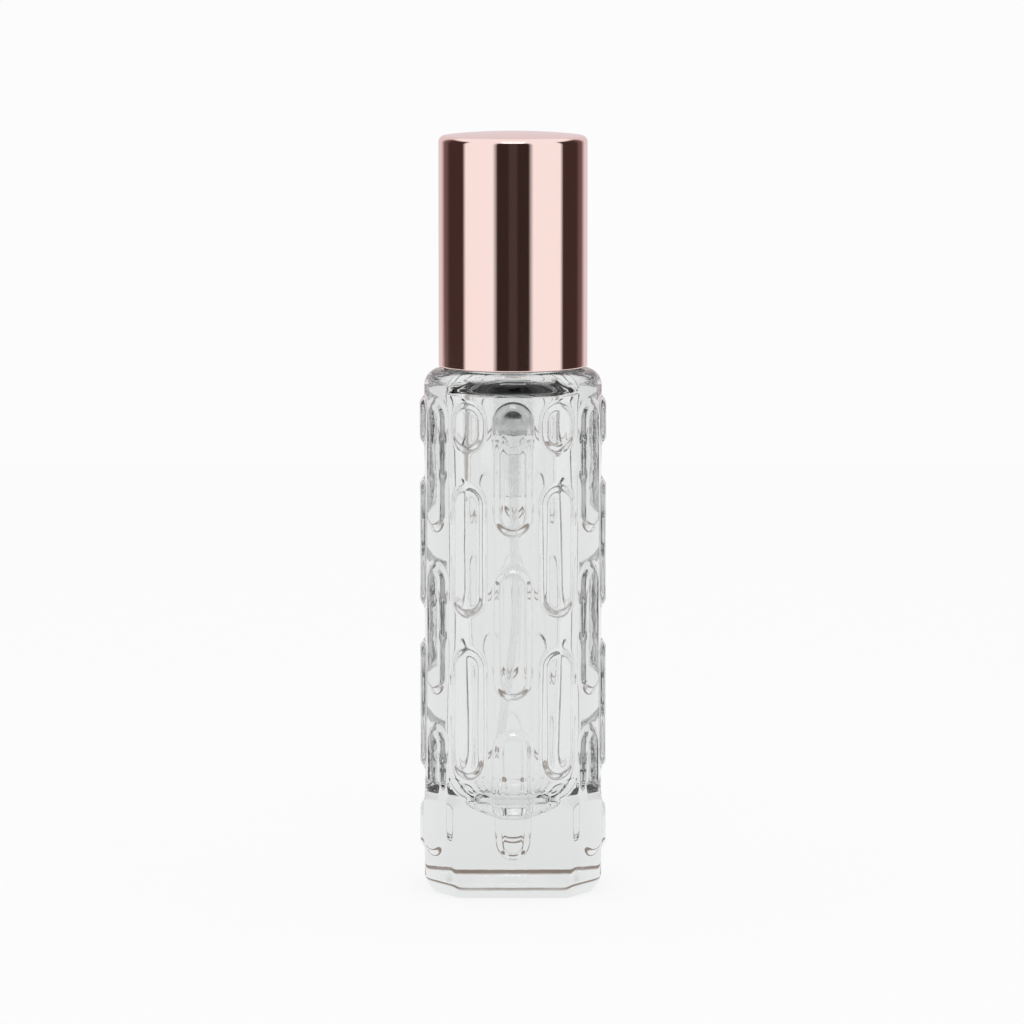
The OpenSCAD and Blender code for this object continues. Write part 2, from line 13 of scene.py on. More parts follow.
import bmesh
import bpy
import numpy as np
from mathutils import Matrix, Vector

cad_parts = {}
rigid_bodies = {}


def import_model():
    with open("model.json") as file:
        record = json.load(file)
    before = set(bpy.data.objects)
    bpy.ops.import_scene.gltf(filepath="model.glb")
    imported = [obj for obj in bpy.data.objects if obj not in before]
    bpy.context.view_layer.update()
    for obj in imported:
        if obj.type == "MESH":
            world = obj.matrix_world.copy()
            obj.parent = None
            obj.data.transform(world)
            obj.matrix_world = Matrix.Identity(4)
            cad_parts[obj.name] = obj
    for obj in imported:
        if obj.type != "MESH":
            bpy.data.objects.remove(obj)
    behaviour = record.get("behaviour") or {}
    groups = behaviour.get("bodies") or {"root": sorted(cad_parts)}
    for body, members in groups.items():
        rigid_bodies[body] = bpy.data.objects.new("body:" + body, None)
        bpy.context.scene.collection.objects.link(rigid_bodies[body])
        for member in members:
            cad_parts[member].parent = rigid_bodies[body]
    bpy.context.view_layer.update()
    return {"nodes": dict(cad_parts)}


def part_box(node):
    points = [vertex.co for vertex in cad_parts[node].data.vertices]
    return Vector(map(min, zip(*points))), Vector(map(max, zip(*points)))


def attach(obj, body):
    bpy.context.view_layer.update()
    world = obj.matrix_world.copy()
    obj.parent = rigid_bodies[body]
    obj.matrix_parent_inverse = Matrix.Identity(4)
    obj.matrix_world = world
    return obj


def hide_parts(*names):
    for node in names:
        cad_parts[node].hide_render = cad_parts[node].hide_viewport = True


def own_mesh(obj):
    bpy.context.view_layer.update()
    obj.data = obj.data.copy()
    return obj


LOG = logging.getLogger("spray_bottle")
MM = 0.001
SIZE_DIGITS = 6
HALF_TURN = 180.0
# Detail of the procedural noises, and the stretch of the smudge noise that is spread over the roughness.
WAVE_DETAIL = 1.0
GRAIN_DETAIL = 3.0
SMUDGE_DETAIL = 4.0
SMUDGE_SPAN = (0.35, 0.75)
# A rounding takes at most this share of an edge, and a face counts for a ring only where it faces it this much.
EDGE_SHARE = 0.49
LEAST_FACING = 0.05

Profile = list[tuple[float, float]]
Points = np.ndarray
Faces = list[list[int]]
Color = tuple[float, float, float]


class Body(Enum):
    """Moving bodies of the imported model."""

    BOTTLE = "bottle"
    PUMP = "pump"
    COLLAR = "collar"
    CAP = "cap"
    BALL = "ball"


class Slot(Enum):
    """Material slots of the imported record."""

    CLEAR_GLASS = "clear_glass"
    ROSE_METAL = "rose_metal"
    LINER_PLASTIC = "liner_plastic"
    WHITE_PLASTIC = "white_plastic"
    FROSTED_PLASTIC = "frosted_plastic"
    TUBE_PLASTIC = "tube_plastic"
    SEAL_RUBBER = "seal_rubber"
    STEEL = "steel"


class Crease(Enum):
    """Angle, in degrees, above which an edge of a piece stays crisp."""

    BLOWN_GLASS = 50.0
    TURNED = 30.0
    WIRE = 80.0


# ---------------------------------------------------------------- meshes


def write_mesh(name: str, points: Points, faces: Faces, crease: Crease) -> bpy.types.Object:
    """Writes a mesh with outward faces and smooth shading.

    Args:
        name: Name of the piece.
        points: One row of x, y and z in millimetres for each vertex.
        faces: Vertex numbers of each face.
        crease: How sharp an edge has to be to stay crisp.

    Returns:
        The new object, linked to the scene.
    """
    mesh = bpy.data.meshes.new(name)
    mesh.from_pydata((np.asarray(points) * MM).tolist(), [], faces)
    work = bmesh.new()
    work.from_mesh(mesh)
    bmesh.ops.recalc_face_normals(work, faces=work.faces)
    work.to_mesh(mesh)
    work.free()
    mesh.shade_smooth()
    mesh.set_sharp_from_angle(angle=math.radians(crease.value))
    piece = bpy.data.objects.new(name, mesh)
    bpy.context.scene.collection.objects.link(piece)
    return piece


def band(low: int, high: int, count: int) -> Faces:
    """Joins two closed rings, given by their first vertex numbers, with four-sided faces."""
    j = np.arange(count)
    k = (j + 1) % count
    return np.column_stack([low + j, low + k, high + k, high + j]).tolist()


def fan(tip: int, first: int, count: int) -> Faces:
    """Joins one point to a closed ring, given by its first vertex number, with three-sided faces."""
    return [[tip, first + (j + 1) % count, first + j] for j in range(count)]


def strip_faces(rows: int, count: int, first: int = 0) -> Faces:
    """Joins rows of points, each a closed ring, into four-sided faces.

    Args:
        rows: Number of rings.
        count: Points in a ring.
        first: Vertex number of the first point.

    Returns:
        The faces between each ring and the next.
    """
    starts = range(first, first + (rows - 1) * count, count)
    return [face for low in starts for face in band(low, low + count, count)]


def rounded(corners: list[tuple[float, float, float]], steps: int = 6) -> Profile:
    """Rounds the corners of a half section.

    Args:
        corners: Radius from the axis, height and rounding radius of each corner.
        steps: Segments in each rounded corner.

    Returns:
        The section's points; a corner with no rounding radius stays as it is.
    """
    made: Profile = []
    count = len(corners)
    for i, (r, z, bend) in enumerate(corners):
        here = np.array([r, z])
        if bend <= 0:
            made.append((r, z))
            continue
        before = np.array(corners[i - 1][:2]) - here
        after = np.array(corners[(i + 1) % count][:2]) - here
        a, b = before / np.linalg.norm(before), after / np.linalg.norm(after)
        half = math.acos(float(np.clip(a @ b, -1, 1))) / 2
        run = min(bend / math.tan(half), EDGE_SHARE * np.linalg.norm(before), EDGE_SHARE * np.linalg.norm(after))
        radius = run * math.tan(half)
        middle = here + (a + b) / np.linalg.norm(a + b) * radius / math.sin(half)
        start, end = here + a * run - middle, here + b * run - middle
        turn = math.atan2(start[0] * end[1] - start[1] * end[0], float(start @ end))
        for s in range(steps + 1):
            t = turn * s / steps
            x = start[0] * math.cos(t) - start[1] * math.sin(t)
            y = start[0] * math.sin(t) + start[1] * math.cos(t)
            made.append((float(middle[0] + x), float(middle[1] + y)))
    return made


def supported(section: Profile, closed: bool, close: float = 0.05) -> Profile:
    """Adds rings close to both ends of each long stretch, so that its shading stays straight.

    Args:
        section: Radius and height of each point, in order.
        closed: Whether the last point joins the first.
        close: Distance of the added rings from the ends, in millimetres.

    Returns:
        The section with the added points.
    """
    made: Profile = []
    count = len(section)
    for i, here in enumerate(section):
        made.append(here)
        if i == count - 1 and not closed:
            break
        after = section[(i + 1) % count]
        length = math.dist(here, after)
        if length > 8 * close:
            for share in (close / length, 1 - close / length):
                made.append((here[0] + (after[0] - here[0]) * share, here[1] + (after[1] - here[1]) * share))
    return made


def turned(name: str, section: Profile, sides: int = 160, closed: bool = True) -> bpy.types.Object:
    """Turns a half section round the Z axis.

    Args:
        name: Name of the piece.
        section: Radius and height of each point, in order.
        sides: Segments round the axis.
        closed: Whether the last point joins the first; otherwise both ends lie on the axis.

    Returns:
        The turned piece.
    """
    a = np.arange(sides) * (2 * math.pi / sides)
    section = supported(section, closed)
    ring = section if closed else section[1:-1]
    points = np.array([[r * math.cos(t), r * math.sin(t), z] for r, z in ring for t in a])
    faces = strip_faces(len(ring), sides)
    total, last = len(ring) * sides, (len(ring) - 1) * sides
    if closed:
        faces += band(last, 0, sides)
    else:
        points = np.vstack([points, [[0, 0, section[0][1]], [0, 0, section[-1][1]]]])
        faces += fan(total, 0, sides) + fan(total + 1, last, sides)
    return write_mesh(name, points, faces, Crease.TURNED)


def drawn(name: str, path: Points, radius: float, bore: float, sides: int) -> bpy.types.Object:
    """Sweeps a round wire or tube along a smooth path.

    Args:
        name: Name of the piece.
        path: Points of the middle line, in millimetres.
        radius: Outer radius.
        bore: Inner radius, zero for a solid wire.
        sides: Segments round the wire.

    Returns:
        The swept piece.
    """
    along = np.gradient(path, axis=0)
    along /= np.linalg.norm(along, axis=1)[:, None]
    side = np.cross(along[0], [0.0, 1.0, 0.0])
    rings = []
    for here, direction in zip(path, along):
        side = side - direction * (side @ direction)
        side /= np.linalg.norm(side)
        rings.append((here, side.copy(), np.cross(direction, side)))
    turn = np.arange(sides) * (2 * math.pi / sides)

    def wall(r: float) -> Points:
        """Points of all rings at one radius."""
        return np.vstack([c + r * (np.cos(turn)[:, None] * u + np.sin(turn)[:, None] * v) for c, u, v in rings])

    points, faces = wall(radius), strip_faces(len(rings), sides)
    total, last = len(rings) * sides, (len(rings) - 1) * sides
    if bore > 0:
        points = np.vstack([points, wall(bore)])
        faces += strip_faces(len(rings), sides, total)
        faces += band(0, total, sides) + band(last, total + last, sides)
    else:
        faces += [list(range(start, start + sides)) for start in (0, last)]
    return write_mesh(name, points, faces, Crease.WIRE)


def smooth_step(value: Points) -> Points:
    """Eases a value from 0 to 1, with flat ends."""
    t = np.clip(value, 0.0, 1.0)
    return t * t * (3 - 2 * t)


def frame_span(node: str) -> tuple[float, float, float]:
    """Outer radius along X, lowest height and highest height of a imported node, in millimetres."""
    low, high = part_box(node)
    return max(-low.x, high.x) / MM, low.z / MM, high.z / MM


# ---------------------------------------------------------------- shader helpers


class Graph:
    """A node tree that is filled node by node."""

    def __init__(self, tree: bpy.types.NodeTree) -> None:
        """Keeps the tree to fill."""
        self.tree = tree

    def feed(self, socket: bpy.types.NodeSocket, value: object) -> None:
        """Joins a socket to another node's output, or sets it to a plain value."""
        if isinstance(value, bpy.types.NodeSocket):
            self.tree.links.new(value, socket)
        else:
            socket.default_value = value

    def fill(self, made: bpy.types.Node, inputs: dict[str, object]) -> bpy.types.Node:
        """Feeds a node's inputs; an underscore stands for a space."""
        for key, value in inputs.items():
            self.feed(made.inputs[key.replace("_", " ")], value)
        return made

    def node(self, kind: str, **inputs: object) -> bpy.types.Node:
        """Adds a node and feeds its inputs."""
        return self.fill(self.tree.nodes.new(kind), inputs)

    def place(self, group: bpy.types.NodeTree, **inputs: object) -> bpy.types.Node:
        """Adds a shared group and feeds its inputs."""
        made = self.tree.nodes.new("ShaderNodeGroup")
        made.node_tree = group
        return self.fill(made, inputs)

    def maths(self, operation: str, *values: object, clamp: bool = False) -> bpy.types.NodeSocket:
        """Adds a Math node.

        Args:
            operation: What it does.
            values: What it works on, in order.
            clamp: Whether its result stays between 0 and 1.

        Returns:
            Its result.
        """
        made = self.tree.nodes.new("ShaderNodeMath")
        made.operation, made.use_clamp = operation, clamp
        for socket, value in zip(made.inputs, values):
            self.feed(socket, value)
        return made.outputs["Value"]

    def blend(self, factor: object, first: object, second: object) -> bpy.types.NodeSocket:
        """Goes from one colour to another.

        Args:
            factor: Share of the second colour.
            first: The first colour.
            second: The second colour.

        Returns:
            The mixed colour.
        """
        made = self.tree.nodes.new("ShaderNodeMix")
        made.data_type = "RGBA"
        return self.fill(made, {"Factor": factor, "A": first, "B": second}).outputs["Result"]

    def step(self, value: bpy.types.NodeSocket, start: float, end: float) -> bpy.types.NodeSocket:
        """Rises from 0 at one value to 1 at another, and stays there."""
        return self.node("ShaderNodeMapRange", Value=value, From_Min=start, From_Max=end).outputs["Result"]


class Recipe(Graph):
    """A material that is filled node by node."""

    def __init__(self, name: str) -> None:
        """Makes the material and keeps its shader and its output."""
        self.material = bpy.data.materials.new(name)
        self.material.use_nodes = True
        super().__init__(self.material.node_tree)
        self.shader = self.tree.nodes["Principled BSDF"]
        self.output = self.tree.nodes["Material Output"]

    def set(self, **values: object) -> None:
        """Feeds the shader's own sockets; an underscore stands for a space."""
        self.fill(self.shader, values)

    def bump(self, height: bpy.types.NodeSocket, strength: float, depth: float) -> None:
        """Gives the shader a relief.

        Args:
            height: Socket with the relief's height, from 0 to 1.
            strength: Share of the relief that shows.
            depth: Height of the relief, in millimetres.
        """
        made = self.node("ShaderNodeBump", Height=height, Strength=strength, Distance=depth * MM)
        self.set(Normal=made.outputs["Normal"])


def new_group(
    name: str, inputs: dict[str, object], outputs: tuple[str, ...]
) -> tuple[Graph, bpy.types.NodeOutputs, bpy.types.NodeInputs]:
    """Starts a shared group, whose sockets named Color hold colours, as do those whose value has four parts.

    Args:
        name: Name of the group.
        inputs: First value of each input.
        outputs: Name of each output.

    Returns:
        The group, the sockets with what it is given, and the sockets that take its results.
    """
    tree = bpy.data.node_groups.new(name, "ShaderNodeTree")
    for key, value in inputs.items():
        kind = "NodeSocketColor" if isinstance(value, tuple) else "NodeSocketFloat"
        tree.interface.new_socket(key, in_out="INPUT", socket_type=kind).default_value = value
    for key in outputs:
        kind = "NodeSocketColor" if key == "Color" else "NodeSocketFloat"
        tree.interface.new_socket(key, in_out="OUTPUT", socket_type=kind)
    graph = Graph(tree)
    return graph, graph.node("NodeGroupInput").outputs, graph.node("NodeGroupOutput").inputs


def relief_group() -> bpy.types.NodeTree:
    """Builds the slow waves that a mould leaves in a surface, with a finer grain over them.

    Returns:
        A group with inputs Size (waves per metre), Grain Size and Grain Share, and the output Height.
    """
    given_first = {"Size": 200.0, "Grain Size": 4000.0, "Grain Share": 0.2}
    graph, given, made = new_group("mould_relief", given_first, ("Height",))
    place = graph.node("ShaderNodeTexCoord").outputs["Object"]
    waves = graph.node("ShaderNodeTexNoise", Vector=place, Scale=given["Size"], Detail=WAVE_DETAIL)
    grain = graph.node("ShaderNodeTexNoise", Vector=place, Scale=given["Grain Size"], Detail=GRAIN_DETAIL)
    mix = graph.node("ShaderNodeMix", Factor=given["Grain Share"], A=waves.outputs["Fac"], B=grain.outputs["Fac"])
    graph.feed(made["Height"], mix.outputs["Result"])
    return graph.tree


def handling_group() -> bpy.types.NodeTree:
    """Builds the marks of handling: faint smudges, fine rub lines and a slightly uneven colour.

    Returns:
        A group with inputs Color, Shade, Smooth, Rough, Size and Stretch, and the outputs Color and Roughness.
    """
    given_first = {
        "Color": (0.8, 0.8, 0.8, 1.0),
        "Shade": (0.7, 0.7, 0.7, 1.0),
        "Smooth": 0.1,
        "Rough": 0.2,
        "Size": 150.0,
        "Stretch": 1.0,
    }
    graph, given, made = new_group("handling_marks", given_first, ("Color", "Roughness"))
    parts = graph.node("ShaderNodeSeparateXYZ", Vector=graph.node("ShaderNodeTexCoord").outputs["Object"]).outputs
    flat = graph.maths("DIVIDE", parts["Z"], given["Stretch"])
    place = graph.node("ShaderNodeCombineXYZ", X=parts["X"], Y=parts["Y"], Z=flat).outputs["Vector"]
    smudge = graph.node("ShaderNodeTexNoise", Vector=place, Scale=given["Size"], Detail=SMUDGE_DETAIL).outputs["Fac"]
    low, high = SMUDGE_SPAN
    rub = graph.node(
        "ShaderNodeMapRange", Value=smudge, From_Min=low, From_Max=high, To_Min=given["Smooth"], To_Max=given["Rough"]
    )
    graph.feed(made["Color"], graph.blend(smudge, given["Color"], given["Shade"]))
    graph.feed(made["Roughness"], rub.outputs["Result"])
    return graph.tree


@dataclass(frozen=True)
class SharedEffects:
    """The groups that every finish draws on."""

    relief: bpy.types.NodeTree
    handling: bpy.types.NodeTree

    @classmethod
    def build(cls) -> "SharedEffects":
        """Builds both groups once."""
        return cls(relief_group(), handling_group())


# ---------------------------------------------------------------- finishes


@dataclass(frozen=True)
class ClearGlass:
    """Clear pressed glass, polished, with slow waves from its mould."""

    name: str = "clear_pressed_glass"
    tint: Color = (0.93, 0.935, 0.933)
    depth_color: Color = (0.3, 0.32, 0.33)
    density: float = 16.0
    refraction: float = 1.5
    wave_size: float = 260.0
    grain_size: float = 1040.0
    grain_share: float = 0.15
    wave_depth: float = 0.12
    wave_share: float = 0.22

    def material(self, effects: SharedEffects) -> bpy.types.Material:
        """Builds the glass.

        Args:
            effects: The shared groups.

        Returns:
            The finished material.
        """
        made = Recipe(self.name)
        made.set(Base_Color=(*self.tint, 1.0), Transmission_Weight=1.0, IOR=self.refraction, Roughness=0.0)
        relief = made.place(
            effects.relief, Size=self.wave_size, Grain_Size=self.grain_size, Grain_Share=self.grain_share
        )
        made.bump(relief.outputs["Height"], self.wave_share, self.wave_depth)
        depth = made.node("ShaderNodeVolumeAbsorption", Color=(*self.depth_color, 1.0), Density=self.density)
        made.feed(made.output.inputs["Volume"], depth.outputs["Volume"])
        return made.material


@dataclass(frozen=True)
class MarkedFinish:
    """What metal and plastic share: two shades of one colour, marks of handling and a fine relief."""

    name: str
    color: Color
    shade: Color
    smooth: float = 0.04
    rough: float = 0.09
    mark_size: float = 240.0
    stretch: float = 6.0
    wave_size: float = 400.0
    grain_size: float = 9000.0
    grain_share: float = 0.1
    relief_share: float = 0.15
    relief_depth: float = 0.01

    def surface(self, effects: SharedEffects) -> Recipe:
        """Starts the material with its marks and its relief.

        Args:
            effects: The shared groups.

        Returns:
            The material, which still lacks what makes it metal or plastic.
        """
        made = Recipe(self.name)
        marks = made.place(
            effects.handling,
            Color=(*self.color, 1.0),
            Shade=(*self.shade, 1.0),
            Smooth=self.smooth,
            Rough=self.rough,
            Size=self.mark_size,
            Stretch=self.stretch,
        )
        made.set(Base_Color=marks.outputs["Color"], Roughness=marks.outputs["Roughness"])
        relief = made.place(
            effects.relief, Size=self.wave_size, Grain_Size=self.grain_size, Grain_Share=self.grain_share
        )
        made.bump(relief.outputs["Height"], self.relief_share, self.relief_depth)
        return made


@dataclass(frozen=True)
class PolishedMetal(MarkedFinish):
    """Mirror-bright metal with faint smudges and rub lines."""

    def material(self, effects: SharedEffects) -> bpy.types.Material:
        """Builds the metal from the shared groups."""
        made = self.surface(effects)
        made.set(Metallic=1.0)
        return made.material


@dataclass(frozen=True)
class MouldedPlastic(MarkedFinish):
    """Injection-moulded plastic or rubber, from opaque to nearly clear."""

    smooth: float = 0.25
    rough: float = 0.38
    mark_size: float = 300.0
    stretch: float = 1.5
    wave_size: float = 500.0
    grain_size: float = 7000.0
    grain_share: float = 0.5
    relief_share: float = 0.25
    relief_depth: float = 0.02
    clearness: float = 0.0
    refraction: float = 1.5

    def material(self, effects: SharedEffects) -> bpy.types.Material:
        """Builds the plastic from the shared groups."""
        made = self.surface(effects)
        made.set(Transmission_Weight=self.clearness, IOR=self.refraction)
        return made.material


CLEAR_PLASTIC = {"clearness": 1.0, "relief_depth": 0.01, "refraction": 1.15}
STEEL_MARKS = {"smooth": 0.18, "rough": 0.4, "mark_size": 900.0, "stretch": 1.0, "relief_depth": 0.05}
RUBBER_MARKS = {"smooth": 0.55, "rough": 0.75, "relief_depth": 0.04}
FINISHES = {
    Slot.CLEAR_GLASS: ClearGlass(),
    Slot.ROSE_METAL: PolishedMetal("rose_gold_metal", (0.96, 0.755, 0.71), (0.94, 0.72, 0.67)),
    Slot.STEEL: PolishedMetal("bright_steel", (0.86, 0.86, 0.86), (0.7, 0.7, 0.71), **STEEL_MARKS),
    Slot.WHITE_PLASTIC: MouldedPlastic("white_moulded_plastic", (0.84, 0.84, 0.83), (0.8, 0.8, 0.79)),
    Slot.LINER_PLASTIC: MouldedPlastic("satin_liner_plastic", (0.82, 0.8, 0.76), (0.77, 0.75, 0.71), 0.35, 0.5),
    Slot.FROSTED_PLASTIC: MouldedPlastic(
        "milky_pump_plastic", (0.98, 0.985, 0.985), (0.96, 0.965, 0.965), 0.05, 0.12, **CLEAR_PLASTIC
    ),
    Slot.TUBE_PLASTIC: MouldedPlastic(
        "clear_tube_plastic", (0.98, 0.985, 0.985), (0.95, 0.955, 0.955), 0.15, 0.25, **CLEAR_PLASTIC
    ),
    Slot.SEAL_RUBBER: MouldedPlastic("seal_rubber", (0.48, 0.48, 0.47), (0.4, 0.4, 0.39), **RUBBER_MARKS),
}


class Paintbox:
    """Builds each finish once and dresses pieces with it."""

    def __init__(self) -> None:
        """Builds the shared groups and every finish."""
        effects = SharedEffects.build()
        self.materials = {slot: finish.material(effects) for slot, finish in FINISHES.items()}

    def dress(self, piece: bpy.types.Object, slot: Slot) -> bpy.types.Object:
        """Gives a piece one finish.

        Args:
            piece: The piece to dress.
            slot: The record's slot whose finish it takes.

        Returns:
            The same piece.
        """
        piece.data.materials.clear()
        piece.data.materials.append(self.materials[slot])
        return piece

    def dress_node(self, nodes: dict[str, bpy.types.Object], name: str, slot: Slot) -> None:
        """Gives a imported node, kept as it is, one finish."""
        self.dress(nodes[name], slot)


def seat(piece: bpy.types.Object, body: Body, *nodes: str) -> bpy.types.Object:
    """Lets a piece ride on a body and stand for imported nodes.

    Args:
        piece: The finished piece, in place.
        body: The body that carries it.
        nodes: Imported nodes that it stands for.

    Returns:
        The same piece.
    """
    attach(piece, body.value)
    if nodes:
        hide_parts(*nodes)
    LOG.info("%s: %d faces on %s", piece.name, len(piece.data.polygons), body.value)
    return piece


# ---------------------------------------------------------------- bottle


@dataclass(frozen=True)
class PillPattern:
    """Soft raised pills in columns, every second column half a step lower."""

    columns: int = 12
    whole: int = 3
    length: float = 15.5
    gap: float = 3.2
    lowest: float = 4.35
    side_gap: float = 0.72
    rise: float = 0.52
    soft_edge: float = 1.1

    def spans(self, column: int) -> list[tuple[float, float]]:
        """Lower and upper end of each pill of a column, in millimetres."""
        half = (self.length - self.gap) / 2
        step = self.length + self.gap
        top = self.lowest + self.whole * step - self.gap
        if column % 2 == 0:
            return [(self.lowest + i * step, self.lowest + i * step + self.length) for i in range(self.whole)]
        first = self.lowest + half + self.gap
        middle = [(first + i * step, first + i * step + self.length) for i in range(self.whole - 1)]
        foot = [(self.lowest, self.lowest + half)] if column * 4 % self.columns == 0 else []
        return [*foot, *middle, (top - half, top)]

    def height(self, turn: Points, z: Points, radius: float) -> Points:
        """Height of the pills above the round wall.

        Args:
            turn: Angle of each point from the front, in radians.
            z: Height of each row, in millimetres.
            radius: Radius of the wall.

        Returns:
            One row of heights for each z, in millimetres.
        """
        half_w = radius * math.tan(math.pi / self.columns) - self.side_gap / 2
        rise = np.zeros((len(z), len(turn)))
        for column in range(self.columns):
            away = turn - 2 * math.pi * column / self.columns
            across = radius * ((away + math.pi) % (2 * math.pi) - math.pi)
            for low, high in self.spans(column):
                past = np.minimum(z - low - half_w, 0.0) + np.maximum(z - high + half_w, 0.0)
                away_from_spine = np.hypot(across[None, :], past[:, None])
                rise = np.maximum(rise, self.rise * smooth_step((half_w - away_from_spine) / self.soft_edge))
        return rise


@dataclass(frozen=True)
class GlassBottle:
    """The glass bottle: eight-sided foot under a round body, pills, shoulder, threaded neck and cavity."""

    radius: float = 10.15
    height: float = 60.1
    wall: float = 5.05
    floor: float = 8.7
    ceiling_depth: float = 2.1
    shoulder_r: float = 1.9
    cavity_corner_r: float = 0.8
    front_half: float = 6.7
    front_depth: float = 8.53
    side_half: float = 3.45
    corner_top: float = 9.6
    corner_runout: float = 3.0
    swell_z: float = 9.4
    swell_height: float = 2.0
    swell_power: float = 1.3
    blend: float = 0.15
    heel_height: float = 2.0
    heel_inset: float = 1.1
    heel_power: float = 1.6
    corner_power: float = 60.0
    dish_r: float = 5.2
    dish_depth: float = 0.5
    shoulder_rings: tuple[float, float] = (2.2, 1.1)
    neck_r: float = 5.4
    neck_height: float = 10.0
    neck_root_r: float = 0.4
    lip_r: float = 0.35
    mouth_width: float = 0.9
    mouth_bevel: float = 0.2
    bore_r: float = 3.35
    bore_edge_r: float = 0.6
    bore_rings: tuple[float, float] = (3.0, 2.0)
    thread_pitch: float = 2.1
    thread_depth: float = 0.6
    thread_turns: float = 1.75
    thread_start: float = 3.333
    thread_half: float = 0.5
    thread_flank: float = 0.3
    thread_fades: float = 8.0
    sides: int = 360
    wall_rings: int = 230
    neck_rings: int = 70
    cavity_rings: int = 40
    unevenness: tuple[tuple[float, int, float, float], ...] = ((0.05, 3, 9.0, 0.0), (0.035, 5, -6.0, 1.0))
    uneven_below_roof: float = 0.5
    pills: PillPattern = PillPattern()

    def turns(self) -> Points:
        """Angle of each point of a ring from the front face, in radians."""
        return np.arange(self.sides) * (2 * math.pi / self.sides)

    def foot_radius(self, inset: float) -> Points:
        """Radius of the eight-sided foot, with slightly eased corners.

        Args:
            inset: Distance by which every face has moved inward.

        Returns:
            The radius at each angle of a ring.
        """
        lean = math.atan2(self.front_depth - self.side_half, self.radius - self.front_half)
        slant = self.front_half * math.sin(lean) + self.front_depth * math.cos(lean)
        faces = [(side, self.front_depth) for side in (0.0, math.pi)]
        faces += [(side, self.radius) for side in (math.pi / 2, -math.pi / 2)]
        faces += [(side, slant) for side in (lean, -lean, math.pi - lean, math.pi + lean)]
        turn = self.turns()
        close = np.zeros(self.sides)
        for direction, distance in faces:
            facing = np.cos(turn - direction)
            ahead = facing > LEAST_FACING
            close[ahead] += (facing[ahead] / (distance - inset)) ** self.corner_power
        return close ** (-1 / self.corner_power)

    def wall_rows(self) -> tuple[Points, Points]:
        """Radii and heights of the outer wall from the table to the shoulder.

        Returns:
            A grid of radii, one row for each height, and the heights.
        """
        bend_z = self.height - self.shoulder_r
        heel = self.heel_height * (1 - np.cos(np.linspace(0, math.pi / 2, 18)))
        wall = np.linspace(self.heel_height, bend_z, self.wall_rings)[1:]
        bend = bend_z + self.shoulder_r * np.sin(np.linspace(0, math.pi / 2, 16)[1:])
        z = np.concatenate([heel, wall, bend])
        past = np.clip((z - self.corner_top) / self.corner_runout, 0, 1)[:, None]
        corner_r = math.hypot(self.front_half, self.front_depth)
        limit = corner_r - self.corner_runout * (1 - np.sqrt(1 - past * past))
        inset = self.heel_inset * (1 - np.minimum(z / self.heel_height, 1)) ** self.heel_power
        over = np.clip((z - bend_z) / self.shoulder_r, 0, 1)
        drop = self.shoulder_r * (1 - np.sqrt(1 - over * over))
        foot = np.array([self.foot_radius(i) for i in inset])
        under = np.clip((self.swell_z + self.swell_height - z) / self.swell_height, 0, 1)[:, None]
        bulge = self.radius - (self.radius - self.front_depth) * under**self.swell_power - inset[:, None]
        block = np.minimum(foot, limit)
        meet = np.clip(self.blend - np.abs(bulge - block), 0, None)
        radii = np.maximum(bulge, block) + meet * meet / self.blend / 4 - drop[:, None]
        return radii + self.pills.height(self.turns(), z, self.radius), z

    def neck_rows(self) -> tuple[Points, Points]:
        """Radii and heights of the shoulder's flat and of the threaded neck.

        Returns:
            A grid of radii, one row for each height, and the heights.
        """
        top = self.height + self.neck_height
        root, lip = self.neck_root_r, self.lip_r
        bend = np.linspace(0, math.pi / 2, 7)
        r = [self.neck_r + past for past in self.shoulder_rings]
        z = [self.height, self.height]
        r += list(self.neck_r + root - root * np.sin(bend))
        z += list(self.height + root - root * np.cos(bend))
        tall = np.linspace(self.height + root, top - lip, self.neck_rings)[1:]
        r += [self.neck_r] * len(tall)
        z += list(tall)
        r += list(self.neck_r - lip + lip * np.cos(bend[1:]))
        z += list(top - lip + lip * np.sin(bend[1:]))
        radii, height = np.repeat(np.array(r)[:, None], self.sides, axis=1), np.array(z)
        share = self.turns() / (2 * math.pi)
        for lap in range(math.ceil(self.thread_turns)):
            turn = share + lap
            middle = self.height + self.thread_start + self.thread_pitch * turn
            fade = smooth_step(np.minimum(turn, self.thread_turns - turn) * self.thread_fades)
            near = smooth_step((self.thread_half - np.abs(height[:, None] - middle[None, :])) / self.thread_flank)
            radii = radii + self.thread_depth * near * fade[None, :]
        return radii, height

    def cavity_section(self) -> Profile:
        """Half section of the mouth, the bore and the cavity, from the neck's lip to the middle of the floor."""
        top, roof, inner = self.height + self.neck_height, self.height - self.ceiling_depth, self.radius - self.wall
        bore, bevel, edge, bend = self.bore_r, self.mouth_bevel, self.bore_edge_r, self.cavity_corner_r
        made: Profile = [(bore + self.mouth_width, top), (bore + bevel, top), (bore, top - bevel)]
        made += [(bore, top - self.bore_rings[0]), (bore, roof + self.bore_rings[1]), (bore, roof + edge)]
        for a in np.linspace(0, math.pi / 2, 7)[1:]:
            made.append((bore + edge - edge * math.cos(a), roof + edge - edge * math.sin(a)))
        made += [(r, roof) for r in np.linspace(bore + edge, inner - bend, 5)[1:-1]]
        for a in np.linspace(0, math.pi / 2, 15):
            made.append((inner - bend + bend * math.sin(a), roof - bend + bend * math.cos(a)))
        made += [(inner, z) for z in np.linspace(roof - bend, self.floor + inner, self.cavity_rings)[1:-1]]
        for a in np.linspace(0, math.pi / 2, self.cavity_rings)[:-1]:
            made.append((inner * math.cos(a), self.floor + inner - inner * math.sin(a)))
        return made

